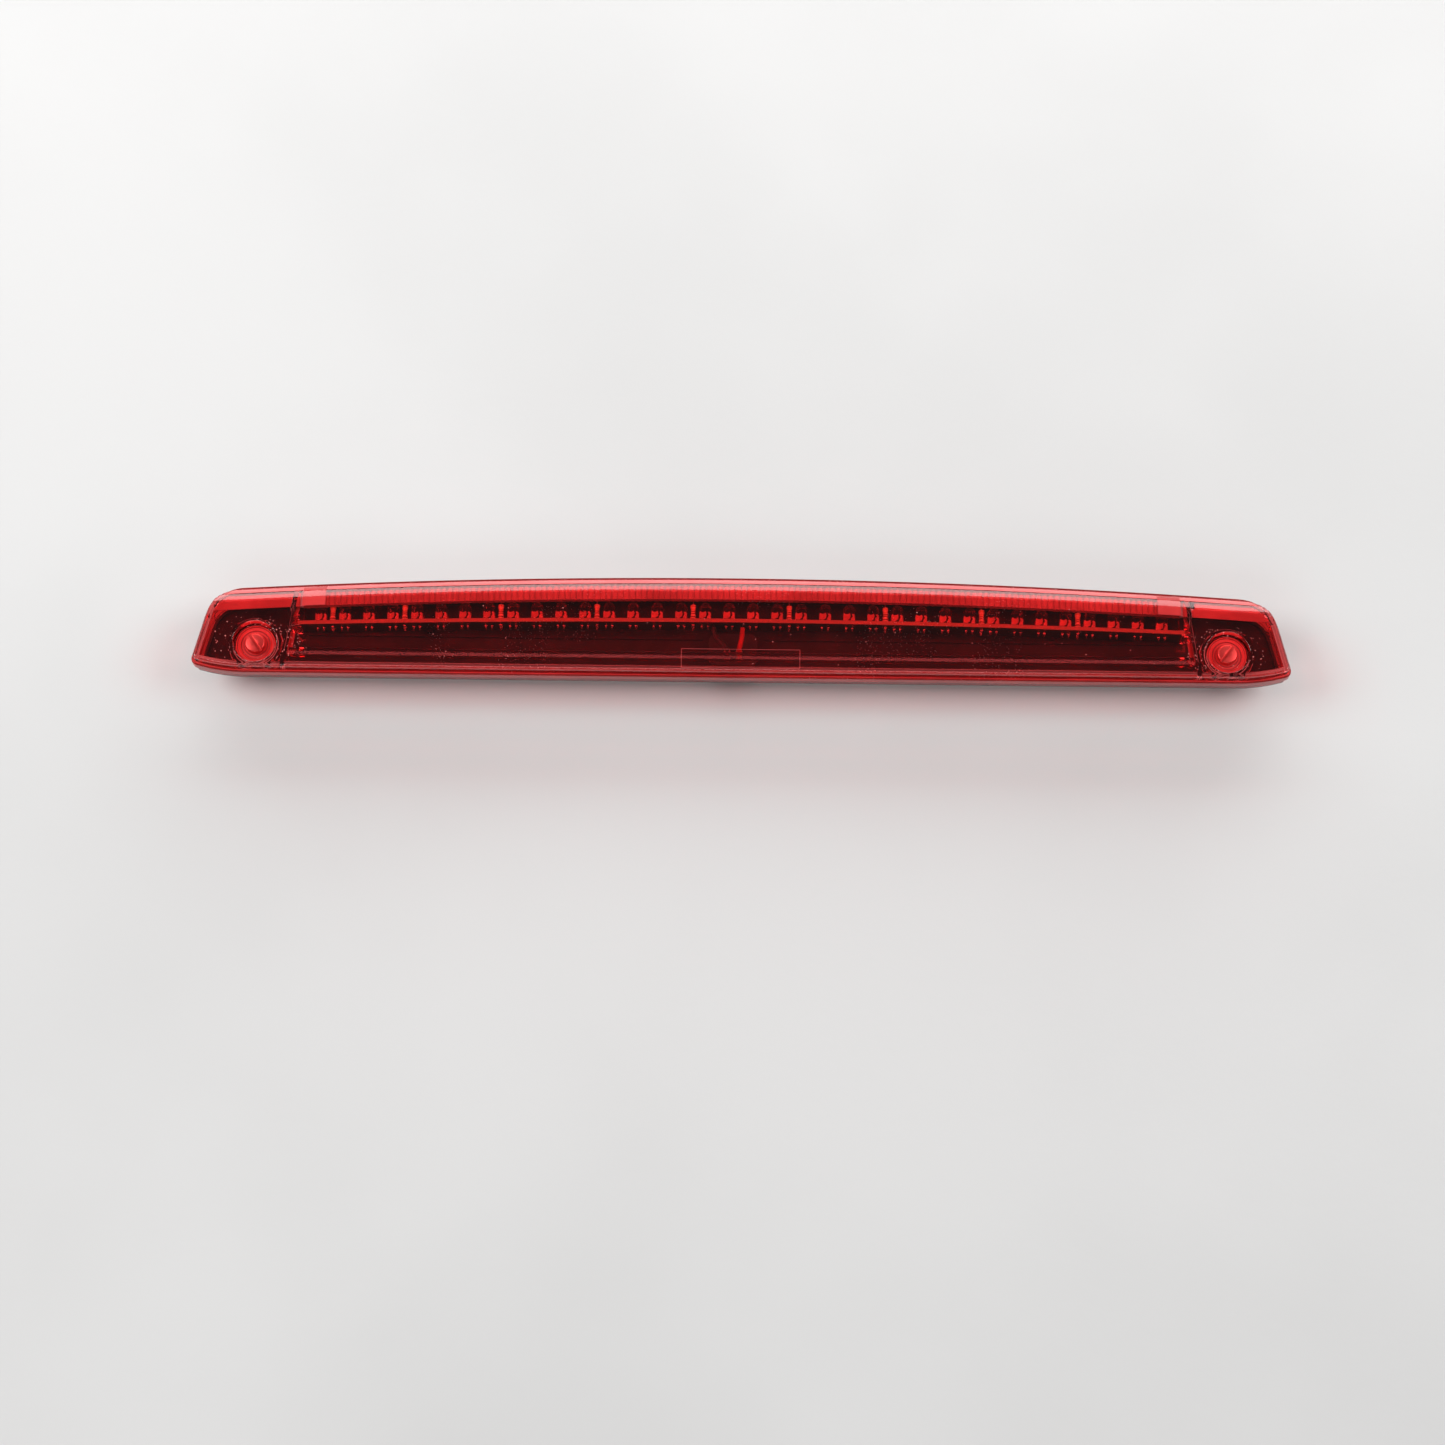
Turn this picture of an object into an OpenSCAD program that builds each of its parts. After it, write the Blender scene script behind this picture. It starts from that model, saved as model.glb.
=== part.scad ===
// Third brake light: a long, low lamp that is fastened on a spoiler by two screws.
// A red lens closes over a black base. Inside, a row of LEDs on a narrow circuit board
// shines rearwards through the rounded rear edge of the lens.
// Frame: +Z up, +Y rearwards (the way the light shines), X along the lamp.
// The origin is on the panel, midway between the two screws. Lengths are in millimetres.

/* [Overall size] */
// Width across the lip at its widest point
lamp_w = 456; // [440:1:560]
// Depth from the front edge to the middle of the rear edge
lamp_d = 44; // [40:0.5:54]
// Height of the lens top above the panel
lamp_h = 16; // [15.8:0.1:22]
// Distance from the front edge back to the line of the screws
screw_setback = 12; // [11.8:0.1:16]
// Distance between the two mounting screws
screw_span = 403; // [400:1:420]

/* [Plan outline] */
// Radius of the bowed rear edge
rear_bow_r = 3200; // [2500:50:9000]
// Lean of each side from the front-to-rear direction, in degrees
side_lean = 14; // [5:1:20]
// Radius of the long curve at each end of the front edge
front_ease_r = 75; // [50:1:100]
// Angle that the long front curve turns through
front_ease_angle = 16; // [8:1:20]
// Radius of each front corner
front_corner_r = 3; // [2:0.5:6]
// Radius of each rear corner
rear_corner_r = 18; // [12:1:24]

/* [Lens] */
// Wall thickness of the lens
lens_wall = 2.2; // [1.8:0.1:2.6]
// How far the lip stands proud of the lens walls
lip_step = 1.2; // [0.8:0.1:1.8]
// Height of the lip's upper edge above the panel
lip_top = 11; // [8:0.5:13]
// Height of the lip itself
lip_h = 4; // [2:0.5:6]
// Gap between the panel and the lens's lower edge
lens_gap = 0.8; // [0.4:0.1:1.4]
// How much deeper the lens's foot is along its rear edge
rear_foot = 3.5; // [0.5:0.5:4.5]
// Height of the rounded rear shoulder of the lens
shoulder_h = 7.5; // [5:0.5:7.5]
// How far that shoulder reaches forward over the lens top
shoulder_d = 10.5; // [8:0.5:11]
// Radius of the other top edges
edge_round_r = 1.2; // [0.5:0.1:1.8]
// Width of the sunken marking pad
pad_w = 49; // [30:1:60]
// Depth of the marking pad, measured back from the front edge of the top
pad_d = 8.4; // [6:0.2:10]
// How deep the marking pad is sunk
pad_sink = 0.25; // [0.15:0.05:0.4]

/* [LED row] */
// Number of LEDs
led_count = 36; // [12:4:36]
// Distance between LEDs along the board
led_pitch = 10; // [8:0.1:10]
// LEDs in each series string, which shares one resistor
string_leds = 4; // [3:1:4]
// Diameter of an LED
led_d = 5; // [4:0.1:5]
// Height of an LED above the board
led_h = 8.6; // [7:0.1:9.5]
// Distance between the two legs of an LED
leg_pitch = 2.54; // [2:0.01:2.54]

/* [Circuit board] */
// Thickness of the board
board_t = 1.6; // [1:0.1:2]
// Height of the board
board_h = 10; // [8:0.1:10]
// Length of the board past the last LED at each end
board_tail = 9.2; // [7:0.1:9.4]
// Radius that the board is flexed to
board_bow_r = 5500; // [4000:100:9000]
// How far the board's LED face is behind the screws
board_y = 12.7; // [11:0.1:16]

/* [Base and seals] */
// Thickness of the base floor
base_floor = 1.8; // [1.5:0.1:2.2]
// Thickness of the foam gasket under the base
gasket_t = 1.5; // [1:0.1:2]
// Thickness of the sealant bead between the lens and the base
bead_t = 0.3; // [0.2:0.05:0.5]
// Clearance between the base and the lens around it
base_clear = 0.15; // [0.1:0.05:0.3]

/* [Screws] */
// Thread diameter of a mounting screw
screw_d = 4.8; // [4:0.1:5]
// Length of a screw under its head
screw_len = 23.5; // [21:0.5:32]
// Diameter of the screw's pan head
head_d = 8.4; // [7.5:0.1:9.5]
// Height of the pan head
head_h = 3; // [2.4:0.1:3.4]
// Diameter of the well that the screw sits in
well_d = 18; // [17.5:0.1:18]
// Outer diameter of the steel washer
washer_d = 16.5; // [13:0.5:17]
// Thickness of the steel washer
washer_t = 1; // [0.8:0.1:1.4]

/* [Connector] */
// Inside width of the connector socket
socket_w = 15; // [13:0.5:17]
// Inside depth of the connector socket
socket_d = 8.6; // [7:0.1:10.4]
// How far the socket reaches below the panel
socket_drop = 12; // [10:0.5:18]
// Wall thickness of the socket
socket_wall = 1.2; // [1:0.1:1.4]
// Place of the connector along the lamp
connector_x = -3.2; // [-10:0.1:4]

/* [Hidden] */
EPS = 0.01;           // overlap that keeps unions and cuts clean
CUT = 40;             // a cutter reaches this far past what it cuts

// Levels above the panel
base_z = gasket_t;                          // underside of the base
floor_z = base_z + base_floor;              // top of the base floor
ledge_z = floor_z + bead_t;                 // ledge of the lens that the bead touches
ceiling_z = lamp_h - lens_wall;             // inner face of the lens top
board_z0 = floor_z + 0.3;                   // lower edge of the board
led_z = board_z0 + board_h / 2;             // height of the LED row's axis
head_sink = 2;                              // the screw head lies this far below the lens top
seal_t = 1;                                 // thickness of the rubber screw seal
seat_z = lamp_h - head_sink - head_h - washer_t - seal_t;  // floor of the screw well
well_floor = 2;                             // thickness of the well's floor
boss_z = seat_z - well_floor;               // where the lens boss meets the base boss

// Insets from the lip's outer outline
ledge_in = lip_step + lens_wall - 0.8;      // the pocket that the base fits in
cavity_in = lip_step + lens_wall;           // the lens's inner walls
rim_in = cavity_in + 0.2;                   // the base's locating rim
rim_t = 1.2;                                // thickness of that rim
rim_h = 1.5;                                // height of that rim

// Plan outline: the right-hand side line, the front curve and the rear bow
function unit(a) = [cos(a), sin(a)];
front_y = -screw_setback;
rear_lip = 0.3;                             // the lip fades to this along the rear edge
lip_fade = lip_step - rear_lip;
rear_y = front_y + lamp_d + lip_fade;
bow_c = [0, rear_y - rear_bow_r];
side_n = unit(side_lean);
side_dir = unit(side_lean + 90);
corner_c = [lamp_w / 2 - front_corner_r,
            front_y + front_ease_r - (front_ease_r - front_corner_r) * cos(front_ease_angle)];
ease_c = [corner_c.x - (front_ease_r - front_corner_r) * sin(front_ease_angle), front_y + front_ease_r];
side_p = corner_c + front_corner_r * side_n;

// Centre of a circle of radius r that touches the side line, set in by i, and the inside of
// the circle (o, big): at the line's rear end when far is 1, and at its front end when it is -1.
function nested(o, big, i, r, far) =
    let (s = side_p - (i + r) * side_n - o,
         b = s * side_dir,
         c = s * s - pow(big - r, 2))
    o + s + (far * sqrt(b * b - c) - b) * side_dir;
function heading(v) = atan2(v.y, v.x);
function arc(c, r, a0, a1, n) = [for (k = [0:n]) c + r * unit(a0 + (a1 - a0) * k / n)];
function mirrored(p) = [for (k = [len(p) - 1:-1:0]) [-p[k].x, p[k].y]];

// The outline set in by i all round, and by a further q along the rear edge only.
function right_half(i, q) =
    let (fr = max(front_corner_r - i, 0.4),
         rr = max(rear_corner_r - i - q / 2, 3),
         fc = nested(ease_c, front_ease_r - i, i, fr, -1),
         rc = nested(bow_c, rear_bow_r - i - q, i, rr, 1),
         a1 = heading(fc - ease_c),
         a2 = heading(rc - bow_c))
    concat(arc(ease_c, front_ease_r - i, -90, a1, 4),
           arc(fc, fr, a1, side_lean, 4),
           arc(rc, rr, side_lean, a2, 20),
           [for (k = [1:11]) bow_c + (rear_bow_r - i - q) * unit(a2 + (90 - a2) * k / 12)]);
// The same, with whatever lies less than s inside the rear bow cut away
function outline(i, q = 0, s = 0) =
    let (half = right_half(i, q))
    [for (p = concat(half, [bow_c + [0, rear_bow_r - i - q]], mirrored(half)))
        [p.x, min(p.y, bow_c.y + sqrt(pow(rear_bow_r - s, 2) - p.x * p.x))]];

module slab(i, z0, z1) translate([0, 0, z0]) linear_extrude(z1 - z0) polygon(outline(i, rear_foot));
module ring_slab(i0, i1, z0, z1) translate([0, 0, z0]) linear_extrude(z1 - z0) difference() {
    polygon(outline(i0, rear_foot));
    polygon(outline(i1, rear_foot));
}

// A closed skin through outlines: each level is [height, inset all round, further rear inset, rear cut].
module skin(levels) {
    n = len(outline(0));
    m = len(levels);
    points = [for (l = levels) for (p = outline(l[1], l[2], l[3])) [p.x, p.y, l[0]]];
    sides = [for (k = [0:m - 2]) for (j = [0:n - 1])
             [k * n + j, (k + 1) * n + j, (k + 1) * n + (j + 1) % n, k * n + (j + 1) % n]];
    triangles = [for (s = sides) each [[s[0], s[1], s[2]], [s[0], s[2], s[3]]]];
    ends = [[for (j = [0:n - 1]) j], [for (j = [n - 1:-1:0]) (m - 1) * n + j]];
    polyhedron(points, concat(triangles, ends));
}

// How far a rounded edge of radius r, whose top is at height top, draws in at height z.
function drawn_in(r, top, z) = z <= top - r ? 0 : r - sqrt(max(0, r * r - pow(z - top + r, 2)));
// Levels of a top with a shoulder h high and d deep at its rear, and a small rounded edge all round
function round_levels(h, d, edge, top, i, start_z = 0) =
    let (a0 = asin(max(0, (start_z - top + h) / h)))
    [for (k = [0:7])
        let (z = top - h + h * sin(a0 + (90 - a0) * k / 7))
        [z, i + drawn_in(edge, top, z), 0, i + d / h * drawn_in(h, top, z)]];

module at_screws() for (side = [-1, 1]) translate([side * screw_span / 2, 0, 0]) children();

// Places along the flexed board: x is measured along it, from its middle
board_c = [0, board_y - board_bow_r];
module on_board(x) translate([board_c.x, board_c.y, 0]) rotate([0, 0, -x / board_bow_r * 180 / PI])
    translate([0, board_bow_r, 0]) children();
function led_x(k) = (k - (led_count - 1) / 2) * led_pitch;
// One resistor stands behind the first LED, and one before each following string
string_count = ceil(led_count / string_leds);
function resistor_x(s) = (s == 0 ? led_x(0) : led_x(s * string_leds - 1)) + led_pitch / 2;
board_half = (led_count - 1) * led_pitch / 2 + board_tail;
leg_w = 0.5;                                // side of an LED's square leg
leg_hole_d = 0.9;                           // hole in the board for a leg
leg_out = 1.7;                              // how far a leg reaches past the board
lead_d = 0.6;                               // wire lead of a resistor
lead_pitch = 2.54;                          // distance between a resistor's two holes
resistor_d = 2.3;
resistor_l = 6.3;
resistor_up = 0.9;                          // gap between the board and a resistor
flange_d = led_d + 0.8;
flange_t = 1;
wire_pad_z = led_z + 1.4;                   // height of the two wire holes in the board
feed_x = 0.7;
ground_x = -11.3;
wire_d = 2;

/* ---- lens ---- */
rib_t = 2;                                  // end walls of the LED chamber
rib_lean = 8;
rib_x = board_half + 3.1;                   // middle of an end wall where the board's end is
rib_z = ledge_z + 1.7;                      // lower edge of the end walls
board_end_y = board_y - board_half * board_half / (2 * board_bow_r) - board_t / 2;
lip_ease = 0.4;                             // chamfer on the lip's upper edge
foot_z = ledge_z + 2;                       // top of the lens's foot
front_rib_t = 1.2;
front_rib_y = front_y + 9.3;                // the chamber's front wall
guide_t = 1.2;                              // thickness of a guide that holds the board's end
guide_in = 4.6;                             // how far a guide reaches in from the end wall
slot_clear = 0.05;
fin_t = 1.6;                                // fins from the board to the rear wall
boss_d = well_d + 4;

module lens_ribs() {
    for (side = [0, 1]) mirror([side, 0, 0]) translate([rib_x, board_end_y, rib_z]) {
        rotate([0, 0, rib_lean]) translate([-rib_t / 2, -CUT, 0]) cube([rib_t, 2 * CUT, CUT]);
        for (s = [-1, 1]) translate([-guide_in, s * (board_t / 2 + slot_clear + guide_t / 2) - guide_t / 2, 0])
            cube([guide_in, guide_t, CUT]);
        translate([-guide_in - fin_t / 2, board_t / 2 + 0.4, 0]) cube([fin_t, CUT, CUT]);
    }
    translate([-rib_x, front_rib_y - front_rib_t / 2, shell_top + 0.7]) cube([2 * rib_x, front_rib_t, CUT]);
}
module marking_pad() translate([-pad_w / 2, front_y + lip_step + edge_round_r, lamp_h - pad_sink])
    cube([pad_w, pad_d, CUT]);
lip_levels = [[lens_gap, lip_step, 0, 0], [lip_top - lip_h, lip_step, 0, 0], [lip_top - lip_h, 0, lip_fade, 0],
              [lip_top - lip_ease, 0, lip_fade, 0], [lip_top, lip_ease, lip_fade - lip_ease / 2, 0]];
module outer_lens() color([0.75, 0.03, 0.03, 0.55]) difference() {
    skin(concat(lip_levels, round_levels(shoulder_h, shoulder_d, edge_round_r, lamp_h, lip_step, lip_top)));
    difference() {
        skin(concat([[lens_gap - CUT, ledge_in, rear_foot, 0], [ledge_z, ledge_in, rear_foot, 0],
                     [ledge_z, cavity_in, rear_foot, 0], [foot_z, cavity_in, rear_foot, 0],
                     [foot_z, cavity_in, 0, 0]],
                    round_levels(shoulder_h - lens_wall, shoulder_d - lens_wall, 0.3, ceiling_z, cavity_in)));
        lens_ribs();
        at_screws() translate([0, 0, boss_z]) cylinder(d = boss_d, h = CUT, $fn = 96);
    }
    at_screws() {
        translate([0, 0, seat_z]) cylinder(d = well_d, h = CUT, $fn = 96);
        cylinder(d = sleeve_d + 0.2, h = lamp_h, $fn = 64);
    }
    marking_pad();
}

/* ---- base, seals ---- */
sleeve_d = screw_d + 2.2;
sleeve_bore = screw_d + 0.6;
base_boss_d = 15;
hole_clear = 0.15;                          // between the connector and the base around it
shell_w = socket_w + 2 * socket_wall;
shell_d = socket_d + 2 * socket_wall;
shell_r = 2;
shell_flange = 1.4;                         // how far the shell's flange reaches out
connector_y = (front_y + rim_in + rim_t + board_y - board_t) / 2;  // midway from rim to board
module at_connector() translate([connector_x, connector_y, 0]) children();
connector_gasket = 1;                       // thickness of the connector's rubber seal
vent_x = 60;
vent_r = 5;
stiffener_t = 1.2;
stiffener_h = 1.3;

module rounded_rect(w, d, r) {
    square([w - 2 * r, d], center = true);
    square([w, d - 2 * r], center = true);
    for (x = [-1, 1]) for (y = [-1, 1]) translate([x * (w / 2 - r), y * (d / 2 - r)]) circle(r = r, $fn = 32);
}
module shell_plan(grow) rounded_rect(shell_w + 2 * grow, shell_d + 2 * grow, shell_r + grow);

module stiffeners() for (y = [front_y + 11, board_y - board_t - 4]) difference() {
    translate([-rib_x + 6, y - stiffener_t / 2, floor_z - EPS]) cube([2 * rib_x - 12, stiffener_t, stiffener_h + EPS]);
    translate([connector_x - shell_w / 2 - 4, y - CUT, 0]) cube([shell_w + 8, 2 * CUT, CUT]);
}
module board_rests() for (x = [-130, -50, 50, 130]) on_board(x) for (s = [-1, 1])
    translate([-1, -board_t / 2 + s * (board_t / 2 + slot_clear + guide_t / 2) - guide_t / 2, floor_z - EPS])
        cube([2, guide_t, 1.6]);
module base_housing() color([0.06, 0.055, 0.06]) difference() {
    union() {
        slab(ledge_in + base_clear, base_z, floor_z);
        ring_slab(rim_in, rim_in + rim_t, floor_z - EPS, floor_z + rim_h);
        at_screws() translate([0, 0, base_z]) cylinder(d = base_boss_d, h = boss_z - base_z, $fn = 64);
        stiffeners();
        board_rests();
    }
    at_screws() cylinder(d = sleeve_d + 0.1, h = lamp_h, $fn = 64);
    at_connector() linear_extrude(lamp_h) shell_plan(hole_clear);
    translate([vent_x, 0, 0]) {
        cylinder(r = 1.5, h = lamp_h, $fn = 32);
        cylinder(r = vent_r + 0.2, h = base_z + 0.5, $fn = 48);
    }
}
module lens_sealant() color([0.12, 0.12, 0.12])
    ring_slab(ledge_in + 0.1, cavity_in - 0.1, floor_z, ledge_z);
module seat_gasket() color([0.09, 0.09, 0.1]) difference() {
    slab(ledge_in + 0.5, 0, gasket_t);
    at_screws() translate([0, 0, -1]) cylinder(d = sleeve_d + 1, h = CUT, $fn = 64);
    at_connector() translate([0, 0, -1]) linear_extrude(CUT) shell_plan(1.4);
    translate([vent_x, 0, -1]) cylinder(r = vent_r + 1, h = CUT, $fn = 48);
}
module vent_membrane() color([0.85, 0.85, 0.83])
    translate([vent_x, 0, base_z + 0.2]) cylinder(r = vent_r, h = 0.3, $fn = 48);
module compression_sleeves() color([0.72, 0.72, 0.7]) at_screws() translate([0, 0, base_z]) difference() {
    cylinder(d = sleeve_d, h = seat_z - base_z, $fn = 64);
    translate([0, 0, -1]) cylinder(d = sleeve_bore, h = CUT, $fn = 64);
}
module screw_seals() color([0.07, 0.07, 0.07]) at_screws() translate([0, 0, seat_z]) difference() {
    cylinder(d = washer_d - 1, h = seal_t, $fn = 64);
    translate([0, 0, -1]) cylinder(d = sleeve_bore, h = CUT, $fn = 64);
}

/* ---- circuit board and what is soldered on it ---- */
module board_sweep(r0, r1, z0, z1) translate([board_c.x, board_c.y, 0])
    rotate([0, 0, 90 - board_half / board_bow_r * 180 / PI])
        rotate_extrude(angle = 2 * board_half / board_bow_r * 180 / PI, $fn = 720)
            translate([r0, z0]) square([r1 - r0, z1 - z0]);
module led_leg_places() for (k = [0:led_count - 1]) on_board(led_x(k)) for (s = [-1, 1])
    translate([s * leg_pitch / 2, 0, led_z]) children();
module resistor_places() for (s = [0:string_count - 1]) on_board(resistor_x(s)) translate([0, 0, led_z]) children();
module wire_places() for (x = [feed_x, ground_x]) on_board(x) translate([0, 0, wire_pad_z]) children();
module hole_through() translate([0, 1, 0]) rotate([90, 0, 0]) cylinder(d = leg_hole_d, h = board_t + 2, $fn = 24);
module circuit_board() color([0.55, 0.1, 0.08]) difference() {
    board_sweep(board_bow_r - board_t, board_bow_r, board_z0, board_z0 + board_h);
    led_leg_places() hole_through();
    resistor_places() for (s = [-1, 1]) translate([0, 0, s * lead_pitch / 2]) hole_through();
    wire_places() hole_through();
}

module led_profile() {
    r = led_d / 2;
    square([flange_d / 2, flange_t]);
    square([r, led_h - r]);
    intersection() {
        translate([0, led_h - r]) circle(r = r, $fn = 64);
        translate([0, led_h - r]) square([r, r]);
    }
}
leg_deep = 3;                               // how far a leg reaches into the LED
module led_bodies() color([0.8, 0.1, 0.08, 0.7]) for (k = [0:led_count - 1]) on_board(led_x(k))
    translate([0, 0, led_z]) difference() {
        rotate([-90, 0, 0]) rotate_extrude($fn = 64) led_profile();
        translate([led_d / 2 + 0.1, -1, -CUT]) cube([1, flange_t + 1 + EPS, 2 * CUT]);
        for (s = [-1, 1]) translate([s * leg_pitch / 2 - leg_w / 2, -1, -leg_w / 2])
            cube([leg_w, leg_deep + 1, leg_w]);
    }
module led_legs() color([0.78, 0.78, 0.75]) led_leg_places()
    translate([-leg_w / 2, -board_t - leg_out, -leg_w / 2]) cube([leg_w, leg_deep + board_t + leg_out, leg_w]);

// Axial resistors stand on end: one lead goes straight down, and the other folds over and back.
module resistor_profile() {
    cap = 1.4;
    translate([0, resistor_up]) square([resistor_d / 2 - 0.2, resistor_l]);
    for (y = [resistor_up, resistor_up + resistor_l - cap]) translate([0, y]) square([resistor_d / 2, cap]);
}
module resistor_bodies() color([0.75, 0.6, 0.42]) resistor_places() translate([0, 0, lead_pitch / 2]) difference() {
    rotate([-90, 0, 0]) rotate_extrude($fn = 48) resistor_profile();
    rotate([-90, 0, 0]) cylinder(d = lead_d + 0.02, h = CUT, $fn = 24);
}
module lead_rod(y0, y1) translate([0, y0, 0]) rotate([-90, 0, 0]) cylinder(d = lead_d, h = y1 - y0, $fn = 24);
module resistor_leads() color([0.78, 0.78, 0.75]) resistor_places() {
    fold_y = resistor_up + resistor_l + 0.5;
    for (s = [-1, 1]) translate([0, 0, s * lead_pitch / 2]) lead_rod(-board_t - leg_out, fold_y);
    translate([0, fold_y, 0]) rotate([0, -90, 0]) rotate_extrude(angle = 180, $fn = 48)
        translate([lead_pitch / 2, 0]) circle(d = lead_d, $fn = 24);
}
module solder_cone(r) translate([0, -board_t, 0]) rotate([90, 0, 0]) cylinder(r1 = r, r2 = 0.4, h = 1.1, $fn = 32);
module solder_joints() color([0.8, 0.8, 0.78]) {
    led_leg_places() difference() {
        solder_cone(0.85);
        translate([-leg_w / 2, -CUT, -leg_w / 2]) cube([leg_w, CUT, leg_w]);
    }
    resistor_places() for (s = [-1, 1]) translate([0, 0, s * lead_pitch / 2]) difference() {
        solder_cone(0.95);
        lead_rod(-CUT, 0);
    }
}

/* ---- wires and connector ---- */
blade_y = connector_y - 1.4;
blade_w = 2.8;
blade_t = 0.8;
blade_pitch = 5;                            // distance between the two blades
flange_z = floor_z + connector_gasket;      // underside of the shell's flange
shell_top = flange_z + 1.5;
cup_z = shell_top + 0.4;
cup_h = 2.4;
wire_top = cup_z + cup_h;
solder_face = board_y - board_t;

// A round tube swept along a route, with its ends cut square
function tangent(p, k) = let (d = p[min(k + 1, len(p) - 1)] - p[max(k - 1, 0)]) d / norm(d);
function across(t) = let (c = cross(t, [1, 0, 0])) c / norm(c);
module tube(route, d, sides = 10) {
    m = len(route);
    points = [for (k = [0:m - 1]) let (t = tangent(route, k), u = across(t), v = cross(t, u))
              for (a = [0:sides - 1]) route[k] + d / 2 * (cos(a * 360 / sides) * u + sin(a * 360 / sides) * v)];
    quads = [for (k = [0:m - 2]) for (a = [0:sides - 1])
             [k * sides + a, k * sides + (a + 1) % sides, (k + 1) * sides + (a + 1) % sides, (k + 1) * sides + a]];
    triangles = [for (q = quads) each [[q[0], q[1], q[2]], [q[0], q[2], q[3]]]];
    ends = [[for (a = [sides - 1:-1:0]) a], [for (a = [0:sides - 1]) (m - 1) * sides + a]];
    polyhedron(points, concat(triangles, ends));
}
// A smooth curve through two straight ends: it leaves p0 along t0 and arrives at p1 along t1
function eased(p0, t0, p1, t1, n) = [for (k = [0:n]) let (u = k / n)
    pow(1 - u, 3) * p0 + 3 * pow(1 - u, 2) * u * (p0 + t0) + 3 * (1 - u) * u * u * (p1 - t1) + pow(u, 3) * p1];
module board_wire(x, blade_x) tube(eased([blade_x, blade_y, wire_top], [0, 0, 4.5],
                                         [x, solder_face - 1.2, wire_pad_z], [0, 5.5, 0], 12), wire_d);
module feed_wire() color([0.8, 0.12, 0.1]) board_wire(feed_x, connector_x + blade_pitch / 2);
module ground_wire() color([0.05, 0.05, 0.05]) board_wire(ground_x, connector_x - blade_pitch / 2);

module connector_shell() color([0.1, 0.1, 0.11]) at_connector() difference() {
    union() {
        translate([0, 0, -socket_drop]) linear_extrude(socket_drop + shell_top) shell_plan(0);
        translate([0, 0, flange_z]) linear_extrude(shell_top - flange_z) shell_plan(shell_flange);
        for (side = [0, 1]) mirror([side, 0, 0]) translate([shell_w / 2 - EPS, -2.5, 0.1])
            cube([0.8, 5, base_z - 0.2]);
    }
    translate([0, 0, -socket_drop - 1]) linear_extrude(socket_drop) rounded_rect(socket_w, socket_d, 1.2);
    for (s = [-1, 1]) translate([s * blade_pitch / 2 - blade_w / 2, blade_y - connector_y - blade_t / 2, -CUT])
        cube([blade_w, blade_t, 2 * CUT]);
}
module connector_blades() color([0.8, 0.72, 0.5]) for (s = [-1, 1])
    translate([connector_x + s * blade_pitch / 2, blade_y, 0]) {
        translate([-blade_w / 2, -blade_t / 2, 1.5 - socket_drop])
            cube([blade_w, blade_t, cup_z + EPS + socket_drop - 1.5]);
        translate([0, 0, cup_z]) cylinder(d = wire_d + 0.2, h = cup_h, $fn = 32);
    }
module connector_seal() color([0.6, 0.25, 0.1]) at_connector() translate([0, 0, floor_z])
    linear_extrude(connector_gasket) difference() {
        shell_plan(shell_flange - 0.2);
        shell_plan(0.05);
    }

/* ---- screws ---- */
head_z = seat_z + seal_t + washer_t;
slot_w = 1.3;
slot_deep = 1.5;
shank_d = screw_d - 0.6;
thread_top = 0.4;                           // the thread starts just above the panel
tip_h = 1.5;
module screw_profile() {
    round_r = 1.2;
    tip_z = head_z - screw_len;
    polygon(concat([[0, tip_z], [screw_d / 4, tip_z], [screw_d / 2, tip_z + tip_h], [screw_d / 2, thread_top],
                    [shank_d / 2, thread_top], [shank_d / 2, head_z], [head_d / 2, head_z]],
                   arc([head_d / 2 - round_r, head_z + head_h - round_r], round_r, 0, 90, 6),
                   [[0, head_z + head_h]]));
}
module mounting_screw(side, slot_angle) color([0.72, 0.72, 0.7]) translate([side * screw_span / 2, 0, 0]) difference() {
    rotate_extrude($fn = 64) screw_profile();
    rotate([0, 0, slot_angle]) translate([-head_d, -slot_w / 2, head_z + head_h - slot_deep])
        cube([2 * head_d, slot_w, slot_deep + 1]);
}
module steel_washer(side) color([0.7, 0.7, 0.68]) translate([side * screw_span / 2, 0, seat_z + seal_t]) difference() {
    cylinder(d = washer_d, h = washer_t, $fn = 64);
    translate([0, 0, -1]) cylinder(d = screw_d + 0.4, h = CUT, $fn = 48);
}
module left_screw() mounting_screw(-1, -55);
module right_screw() mounting_screw(1, 52);
module left_washer() steel_washer(-1);
module right_washer() steel_washer(1);

outer_lens();
base_housing();
lens_sealant();
seat_gasket();
circuit_board();
led_bodies();
led_legs();
resistor_bodies();
resistor_leads();
solder_joints();
feed_wire();
ground_wire();
connector_shell();
connector_blades();
connector_seal();
vent_membrane();
compression_sleeves();
screw_seals();
left_screw();
right_screw();
left_washer();
right_washer();
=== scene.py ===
# %% [markdown]
# # A third brake light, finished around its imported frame
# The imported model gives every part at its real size. This lesson adds what the solids leave out: the red
# acrylic with its polished edges, lead frames inside the LEDs, fluted optics, solder fillets, threads, banded
# resistors and the wear on each surface. All lengths are in metres.

# %% Load the frame
import random
from math import cos, hypot, pi, radians, sin

import bmesh
import bpy
from mathutils import Matrix, Vector


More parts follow.
